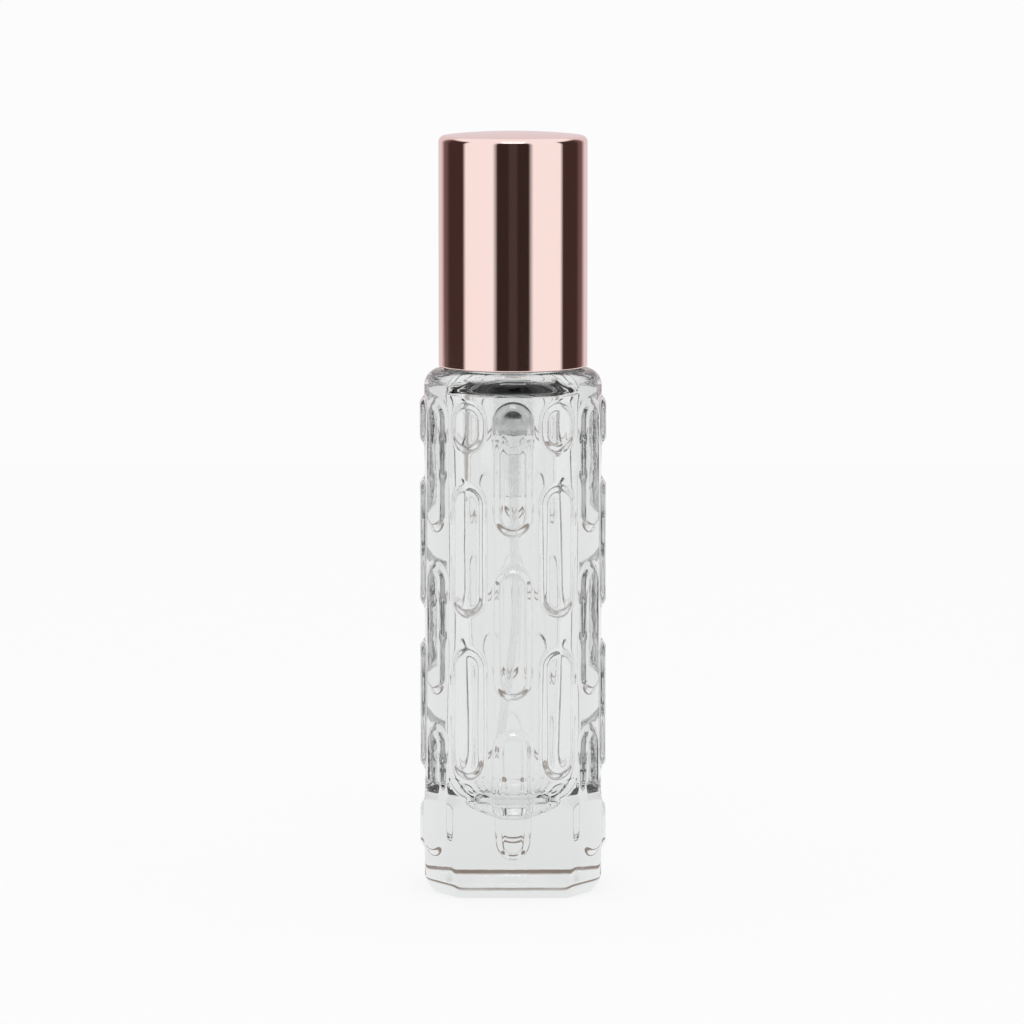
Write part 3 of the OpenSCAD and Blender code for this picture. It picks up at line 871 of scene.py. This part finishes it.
    def cavity_rows(self) -> tuple[Points, Points]:
        """Radii and heights of the cavity, whose wall is a little uneven, as pressed glass is.

        Returns:
            A grid of radii, one row for each height, and the heights.
        """
        section = np.array(self.cavity_section())
        radii = np.repeat(section[:, 0][:, None], self.sides, axis=1)
        z, turn = section[:, 1], self.turns()[None, :]
        inside = z < self.height - self.ceiling_depth - self.uneven_below_roof
        share = (inside * section[:, 0] / (self.radius - self.wall))[:, None]
        for depth, waves, rise, start in self.unevenness:
            radii = radii + share * depth * np.sin(waves * turn + z[:, None] / rise + start)
        return radii, z

    def build(self, paint: Paintbox) -> bpy.types.Object:
        """Builds the bottle as one closed skin.

        Args:
            paint: The finishes.

        Returns:
            The glass piece.
        """
        under = np.array([(self.dish_r * s, self.dish_depth * (1 - s * s)) for s in np.linspace(0, 1, 12)[1:]])
        under_rows = (np.repeat(under[:, 0][:, None], self.sides, axis=1), under[:, 1])
        rows = [under_rows, self.wall_rows(), self.neck_rows(), self.cavity_rows()]
        radii = np.vstack([r for r, _ in rows])
        z = np.concatenate([h for _, h in rows])
        turn = self.turns()
        x, y = radii * np.sin(turn), -radii * np.cos(turn)
        points = np.stack([x, y, np.repeat(z[:, None], self.sides, axis=1)], axis=2).reshape(-1, 3)
        count = len(z)
        faces = strip_faces(count, self.sides)
        points = np.vstack([points, [[0, 0, self.dish_depth], [0, 0, self.floor]]])
        total = count * self.sides
        faces += fan(total, 0, self.sides) + fan(total + 1, total - self.sides, self.sides)
        piece = write_mesh("glass_bottle", points, faces, Crease.BLOWN_GLASS)
        return seat(paint.dress(piece, Slot.CLEAR_GLASS), Body.BOTTLE, "bottle")


# ---------------------------------------------------------------- metal skins


@dataclass(frozen=True)
class Overcap:
    """The rose-gold cap: thin drawn metal with a tight top edge, a gentle dome and a rolled rim, over its liner."""

    skin: float = 0.37
    edge_r: float = 1.0
    inner_edge_r: float = 0.6
    dome: float = 0.5
    dome_share: float = 0.84
    rim_r: float = 0.15

    def build(self, paint: Paintbox, nodes: dict[str, bpy.types.Object]) -> bpy.types.Object:
        """Builds the metal shell and dresses the liner.

        Args:
            paint: The finishes.
            nodes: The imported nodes.

        Returns:
            The shell.
        """
        r, low, high = frame_span("cap_shell")
        shoulder = high - self.dome
        crown = [(r * s, high - self.dome * s * s, 0.0) for s in np.linspace(0, self.dome_share, 14)]
        inner = [(x * (1 - self.skin / r), z - self.skin, 0.0) for x, z, _ in crown]
        outline = [
            (0.0, high, 0.0),
            *crown[1:],
            (r, shoulder, self.edge_r),
            (r, low, self.rim_r),
            (r - self.skin, low, self.rim_r),
            (r - self.skin, shoulder - self.skin, self.inner_edge_r),
            *reversed(inner[1:]),
            (0.0, high - self.skin, 0.0),
        ]
        piece = turned("cap_metal", rounded(outline, 8), 256, closed=False)
        paint.dress_node(nodes, "cap_liner", Slot.LINER_PLASTIC)
        return seat(paint.dress(piece, Slot.ROSE_METAL), Body.CAP, "cap_shell")


@dataclass(frozen=True)
class ScrewCollar:
    """The screw collar: threaded plastic ring in a polished metal skin, with the gasket that it presses."""

    skin: float = 0.3
    nest_gap: float = 0.02
    top_hole_r: float = 3.89
    edge_r: float = 0.35
    hole_edge_r: float = 0.1
    rim_r: float = 0.12

    def build(self, paint: Paintbox, nodes: dict[str, bpy.types.Object]) -> bpy.types.Object:
        """Builds the metal skin and dresses the threaded ring and the gasket.

        Args:
            paint: The finishes.
            nodes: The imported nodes.

        Returns:
            The skin.
        """
        r, low, high = frame_span("collar_shell")
        under, inside = high - self.skin + self.nest_gap, r - self.skin
        outline = [
            (r, low, self.rim_r),
            (r, high, self.edge_r),
            (self.top_hole_r, high, self.hole_edge_r),
            (self.top_hole_r, under, 0.0),
            (inside, under, 0.0),
            (inside, low, self.rim_r),
        ]
        piece = turned("collar_metal", rounded(outline, 6), 224)
        paint.dress_node(nodes, "collar", Slot.WHITE_PLASTIC)
        paint.dress_node(nodes, "neck_gasket", Slot.SEAL_RUBBER)
        return seat(paint.dress(piece, Slot.ROSE_METAL), Body.COLLAR, "collar_shell")


# ---------------------------------------------------------------- pump


@dataclass(frozen=True)
class SprayPump:
    """The mist pump: milky housing with its ball cage, steel ball and spring, and the clear dip tube."""

    flange_z: float = 70.9
    flange_h: float = 1.0
    flange_r: float = 5.92
    housing_r: float = 3.09
    cylinder_r: float = 2.34
    spring_seat: float = 58.025
    step: float = 0.75
    nest_gap: float = 0.02
    throat_step: float = 0.1
    cage_r: float = 1.8
    cage_out_r: float = 2.1
    cage_floor: float = 52.175
    funnel_z: float = 50.415
    funnel_h: float = 1.5
    socket_z: float = 45.515
    socket_r: float = 0.805
    tube_r: float = 0.525
    tube_bore: float = 0.325
    tube_top: float = 50.395
    tube_straight_to: float = 44.465
    tube_end: float = 9.8
    tube_lean: float = 1.8
    tube_bend: tuple[float, ...] = (0, 0.02, 0.12, 0.22, 0.2, 0.02, -0.28, -0.58, -0.8, -0.93, -1)
    tube_neck: float = 1.5
    tube_rings: int = 90
    tube_even: int = 13
    wire_d: float = 0.35
    coil_r: float = 2.045
    curls: float = 4.5
    rise: float = 5.935
    spring_rings: int = 260
    stroke: float = 3.8

    def housing(self, paint: Paintbox) -> bpy.types.Object:
        """Builds the housing, whose wide part and cage show through the glass.

        Args:
            paint: The finishes.

        Returns:
            The housing.
        """
        top, hold = self.flange_z + self.flange_h, self.tube_r + self.nest_gap
        throat = hold - self.throat_step
        cone = self.cage_floor + self.cage_r - throat - self.step
        section = [
            (hold, self.socket_z, 0.08),
            (self.socket_r, self.socket_z, 0.1),
            (self.socket_r, self.funnel_z, 0.3),
            (self.cage_out_r, self.funnel_z + self.funnel_h, 0.3),
            (self.cage_out_r, self.spring_seat - self.step, 0.15),
            (self.housing_r, self.spring_seat, 0.2),
            (self.housing_r, self.flange_z, 0.1),
            (self.flange_r, self.flange_z, 0.12),
            (self.flange_r, top, 0.12),
            (self.cylinder_r, top, 0.1),
            (self.cylinder_r, self.spring_seat, 0.1),
            (self.cage_r, self.spring_seat, 0.1),
            (self.cage_r, cone, 0.4),
            (throat, cone - self.cage_r + throat, 0.1),
            (throat, self.funnel_z, 0.0),
            (hold, self.funnel_z, 0.0),
        ]
        piece = turned("pump_cylinder", rounded(section, 6), 128)
        return seat(paint.dress(piece, Slot.FROSTED_PLASTIC), Body.PUMP, "pump_housing")

    def ball(self, paint: Paintbox) -> bpy.types.Object:
        """Builds the steel check ball as a turned half circle."""
        r, low, high = frame_span("check_ball")
        arc = [(r * math.sin(a), (low + high) / 2 - r * math.cos(a)) for a in np.linspace(0, math.pi, 49)]
        return seat(paint.dress(turned("steel_ball", arc, 96, closed=False), Slot.STEEL), Body.BALL, "check_ball")

    def spring(self, paint: Paintbox) -> bpy.types.Object:
        """Builds the return spring from one round wire.

        Args:
            paint: The finishes.

        Returns:
            The spring.
        """
        share = np.linspace(0, 1, self.spring_rings)
        turn = 2 * math.pi * self.curls * share
        low = self.spring_seat + self.nest_gap
        z = low + self.wire_d / 2 + self.rise * share
        path = np.column_stack([self.coil_r * np.cos(turn), self.coil_r * np.sin(turn), z])
        wire = drawn("spring_wire", path, self.wire_d / 2, 0.0, 12)
        piece = seat(paint.dress(wire, Slot.STEEL), Body.PUMP, "return_spring")
        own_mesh(piece)
        return piece

    def dip_tube(self, paint: Paintbox) -> bpy.types.Object:
        """Builds the dip tube along the gentle bend that it hangs in.

        Args:
            paint: The finishes.

        Returns:
            The tube.
        """
        places = np.array(self.tube_bend) * self.tube_lean
        s = np.linspace(0, 1, self.tube_rings)
        x = np.interp(s, np.linspace(0, 1, len(places)), places)
        even = np.ones(self.tube_even) / self.tube_even
        x = np.convolve(np.pad(x, self.tube_even // 2, mode="edge"), even, mode="valid")
        z = self.tube_straight_to + (self.tube_end - self.tube_straight_to) * s
        path = np.column_stack([x, np.zeros_like(x), z])
        path = np.vstack([[0.0, 0.0, self.tube_top], [x[0], 0.0, self.tube_straight_to + self.tube_neck], path])
        piece = drawn("dip_tube_plastic", path, self.tube_r, self.tube_bore, 32)
        return seat(paint.dress(piece, Slot.TUBE_PLASTIC), Body.PUMP, "dip_tube")

    def build(self, paint: Paintbox, nodes: dict[str, bpy.types.Object]) -> None:
        """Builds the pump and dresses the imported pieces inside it.

        Args:
            paint: The finishes.
            nodes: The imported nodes.
        """
        self.housing(paint)
        self.ball(paint)
        self.dip_tube(paint)
        for name in ("pump_retainer", "plunger", "piston", "stem"):
            paint.dress_node(nodes, name, Slot.WHITE_PLASTIC)
        paint.dress_node(nodes, "stem_seal", Slot.SEAL_RUBBER)
        self.spring(paint)


@dataclass(frozen=True)
class SprayButton:
    """The press button: plastic core in a metal skin, with its nozzle insert."""

    finishes: tuple[tuple[str, Slot], ...] = (
        ("button", Slot.WHITE_PLASTIC),
        ("button_shell", Slot.ROSE_METAL),
        ("nozzle_insert", Slot.WHITE_PLASTIC),
    )

    def build(self, paint: Paintbox, nodes: dict[str, bpy.types.Object]) -> None:
        """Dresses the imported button, whose skin has the true nozzle hole.

        Args:
            paint: The finishes.
            nodes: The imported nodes.
        """
        for name, slot in self.finishes:
            paint.dress_node(nodes, name, slot)


# ---------------------------------------------------------------- studio


@dataclass(frozen=True)
class Flag:
    """One stretch of the studio's walls, seen from the object as an angle from the camera's side."""

    start: float
    end: float
    color: Color


@dataclass(frozen=True)
class Studio:
    """Pale floor, white surround and dark flags, whose light is nearly even on dull surfaces."""

    floor_half: float = 450.0
    floor_drop: float = 0.02
    floor_color: Color = (0.93, 0.93, 0.93)
    floor_roughness: float = 0.9
    floor_sheen: float = 0.1
    floor_shade: Color = (0.14, 0.14, 0.14)
    floor_light: float = 0.83
    even_light: Color = (0.95, 0.95, 0.95)
    backdrop_color: Color = (0.974, 0.974, 0.974)
    ceiling_color: Color = (1.0, 1.0, 1.0)
    wall_top: float = 32.0
    wall_fade: float = 10.0
    skirting: tuple[float, float, float, float] = (0.0, 1.5, 5.0, 7.5)
    skirting_color: Color = (0.28, 0.22, 0.18)
    skirting_from: tuple[float, float] = (118.0, 130.0)
    softbox_width: float = 0.3
    softbox_depth: float = 0.12
    softbox_power: float = 0.6
    softbox_place: tuple[float, float, float] = (0.0, -0.35, 0.6)
    softbox_tilt: float = 32.0
    mirror_flags: tuple[Flag, ...] = (
        Flag(0, 5, (0.065, 0.045, 0.042)),
        Flag(8, 24, (0.035, 0.022, 0.018)),
        Flag(32, 78, (1.0, 1.0, 1.0)),
        Flag(84, 116, (0.055, 0.03, 0.027)),
        Flag(126, 132, (0.16, 0.1, 0.1)),
        Flag(146, 180, (0.775, 0.68, 0.69)),
    )
    glass_flags: tuple[Flag, ...] = (
        Flag(0, 60, (0.94, 0.94, 0.94)),
        Flag(68, 72, (0.62, 0.6, 0.58)),
        Flag(80, 96, (0.94, 0.94, 0.94)),
        Flag(103, 112, (0.5, 0.47, 0.45)),
        Flag(120, 180, (1.0, 1.0, 1.0)),
    )

    def floor(self) -> bpy.types.Object:
        """Builds the floor, which looks white and still takes the object's shadow."""
        far = self.floor_half
        ground = np.array([[x, y, -self.floor_drop] for x, y in ((-far, -far), (far, -far), (far, far), (-far, far))])
        piece = write_mesh("studio_floor", ground, [[0, 1, 2, 3]], Crease.TURNED)
        made = Recipe("studio_floor_paint")
        made.set(
            Base_Color=(*self.floor_color, 1.0), Roughness=self.floor_roughness, Specular_IOR_Level=self.floor_sheen
        )
        shade = made.node("ShaderNodeBsdfDiffuse", Color=(*self.floor_shade, 1.0))
        glow = made.node("ShaderNodeEmission", Strength=self.floor_light)
        shown, mix = made.node("ShaderNodeAddShader"), made.node("ShaderNodeMixShader", Fac=self.seen_directly(made))
        made.feed(shown.inputs[0], shade.outputs["BSDF"])
        made.feed(shown.inputs[1], glow.outputs["Emission"])
        made.feed(mix.inputs[1], made.shader.outputs["BSDF"])
        made.feed(mix.inputs[2], shown.outputs["Shader"])
        made.feed(made.output.inputs["Surface"], mix.outputs["Shader"])
        piece.data.materials.append(made.material)
        return piece

    @staticmethod
    def seen_directly(graph: Graph) -> bpy.types.NodeSocket:
        """Adds up the rays that show the background.

        Args:
            graph: The tree that asks.

        Returns:
            A value of 1 for camera, glossy and transmission rays.
        """
        rays = graph.node("ShaderNodeLightPath").outputs
        total = rays["Is Camera Ray"]
        for kind in ("Is Glossy Ray", "Is Transmission Ray"):
            total = graph.maths("ADD", total, rays[kind], clamp=True)
        return total

    @staticmethod
    def ramp(graph: Graph, turn: bpy.types.NodeSocket, flags: tuple[Flag, ...]) -> bpy.types.NodeSocket:
        """Paints flags round the horizon.

        Args:
            graph: The world's tree.
            turn: Share of the half turn from the camera's side to the far side.
            flags: The flags, in order of their angles.

        Returns:
            The colour of the surround in that direction.
        """
        node = graph.node("ShaderNodeValToRGB", Fac=turn)
        stops = node.color_ramp.elements
        stops[0].position, stops[0].color = 0.0, (*flags[0].color, 1.0)
        stops[1].position, stops[1].color = 1.0, (*flags[-1].color, 1.0)
        for flag in flags:
            for angle in (flag.start, flag.end):
                if 0 < angle < HALF_TURN:
                    stops.new(angle / HALF_TURN).color = (*flag.color, 1.0)
        return node.outputs["Color"]

    def surround(self) -> None:
        """Builds the world: white to the eye, flags to mirrors and glass, and even light to dull surfaces.

        Glass also sees a dark skirting along the far wall, which draws the foot's bevel.
        """
        world = bpy.data.worlds.new("studio_surround")
        bpy.context.scene.world = world
        world.use_nodes = True
        graph = Graph(world.node_tree)
        sight = graph.node("ShaderNodeTexCoord").outputs["Generated"]
        way = graph.node("ShaderNodeSeparateXYZ", Vector=sight).outputs
        ahead = graph.maths("MULTIPLY", way["Y"], -1.0)
        turn = graph.maths("DIVIDE", graph.maths("ARCTAN2", graph.maths("ABSOLUTE", way["X"]), ahead), math.pi)
        top, sky = (math.sin(math.radians(angle)) for angle in (self.wall_top, self.wall_top + self.wall_fade))
        above, ceiling = graph.step(way["Z"], top, sky), (*self.ceiling_color, 1.0)
        mirror = graph.blend(above, self.ramp(graph, turn, self.mirror_flags), ceiling)
        glass = graph.blend(above, self.ramp(graph, turn, self.glass_flags), ceiling)
        low, full, fading, gone = (math.sin(math.radians(angle)) for angle in self.skirting)
        strip = graph.maths("MULTIPLY", graph.step(way["Z"], low, full), graph.step(way["Z"], gone, fading))
        far_side = graph.step(turn, *(angle / HALF_TURN for angle in self.skirting_from))
        glass = graph.blend(graph.maths("MULTIPLY", strip, far_side), glass, (*self.skirting_color, 1.0))
        rays = graph.node("ShaderNodeLightPath").outputs
        color = graph.blend(rays["Is Glossy Ray"], (*self.even_light, 1.0), mirror)
        color = graph.blend(rays["Is Transmission Ray"], color, glass)
        color = graph.blend(rays["Is Camera Ray"], color, (*self.backdrop_color, 1.0))
        graph.feed(graph.tree.nodes["Background"].inputs["Color"], color)

    def lamps(self) -> None:
        """Hangs a soft box above and in front, whose small image marks the edges."""
        light = bpy.data.lights.new("overhead_softbox", "AREA")
        light.shape = "RECTANGLE"
        light.size, light.size_y, light.energy = self.softbox_width, self.softbox_depth, self.softbox_power
        lamp = bpy.data.objects.new("overhead_softbox", light)
        lamp.location = self.softbox_place
        lamp.rotation_euler = (math.radians(self.softbox_tilt), 0.0, 0.0)
        bpy.context.scene.collection.objects.link(lamp)

    def build(self) -> None:
        """Builds floor, surround and lamp, with plain view settings."""
        bpy.context.scene.view_settings.view_transform = "Standard"
        self.floor()
        self.surround()
        self.lamps()


@dataclass(frozen=True)
class PhotoCamera:
    """The photograph's camera, a long lens a little above the cap."""

    side: float = -0.115
    distance: float = 680.0
    height: float = 123.5
    pitch: float = 6.707
    lens: float = 209.93
    sensor: float = 36.0
    clip: tuple[float, float] = (0.02, 20.0)

    def build(self) -> bpy.types.Object:
        """Builds the camera and makes it the scene's own."""
        data = bpy.data.cameras.new("photo_camera")
        data.sensor_width, data.lens = self.sensor, self.lens
        data.clip_start, data.clip_end = self.clip
        camera = bpy.data.objects.new("photo_camera", data)
        camera.location = (self.side * MM, -self.distance * MM, self.height * MM)
        camera.rotation_euler = (math.radians(90 - self.pitch), 0.0, 0.0)
        bpy.context.scene.collection.objects.link(camera)
        bpy.context.scene.camera = camera
        return camera


def clear_scene() -> None:
    """Removes everything that Blender starts with."""
    for thing in list(bpy.data.objects):
        bpy.data.objects.remove(thing)


def corners(box: tuple[object, object]) -> list[list[float]]:
    """Lists a box's two corners as plain numbers."""
    return [[round(float(value), SIZE_DIGITS) for value in corner] for corner in box]


def main() -> None:
    """Builds every piece in order and reports it."""
    logging.basicConfig(level=logging.INFO, format="%(message)s")
    clear_scene()
    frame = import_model()
    nodes = frame["nodes"]
    PhotoCamera().build()
    Studio().build()
    paint = Paintbox()
    steps: list[tuple[str, Callable[[], object]]] = [
        ("bottle", lambda: GlassBottle().build(paint)),
        ("overcap", lambda: Overcap().build(paint, nodes)),
        ("collar", lambda: ScrewCollar().build(paint, nodes)),
        ("pump", lambda: SprayPump().build(paint, nodes)),
        ("button", lambda: SprayButton().build(paint, nodes)),
    ]
    for name, build in steps:
        build()
        LOG.info("%s done", name)


if __name__ == "__main__":
    main()
